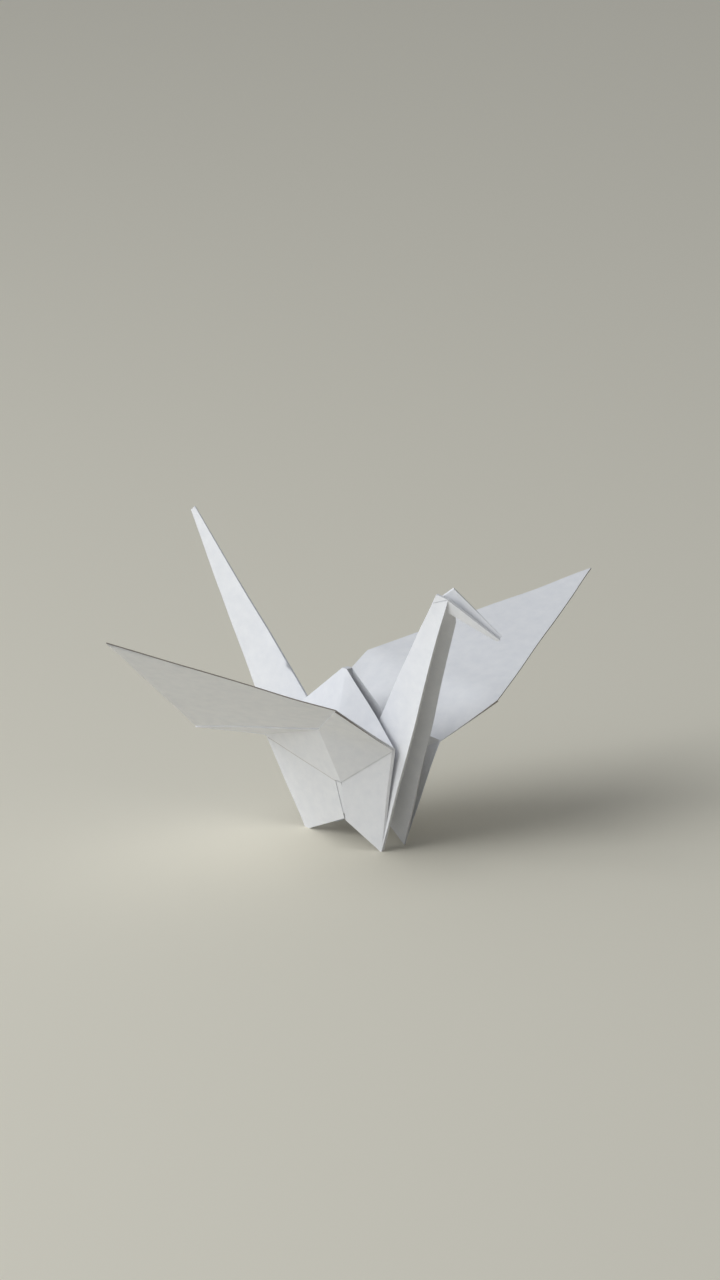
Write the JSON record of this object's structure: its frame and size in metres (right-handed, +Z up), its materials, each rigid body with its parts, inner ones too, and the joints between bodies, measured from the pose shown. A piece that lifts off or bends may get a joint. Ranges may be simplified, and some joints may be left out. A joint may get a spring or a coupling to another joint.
{
  "type": "origami crane",
  "caption": "Origami crane folded from one square of white paper, standing on its bottom corners with wings spread, pointed tail raised and head bent down.",
  "frame": {"origin": "bottom centre of the crane's overall box, on the table it stands on", "axes": "+X towards the head, +Y towards the left wing's tip, +Z up"},
  "size_m": [0.093, 0.129, 0.0613],
  "materials": {
    "paper": "matte"
  },
  "bodies": {
    "root": {"crane": "paper"}
  },
  "joints": []
}
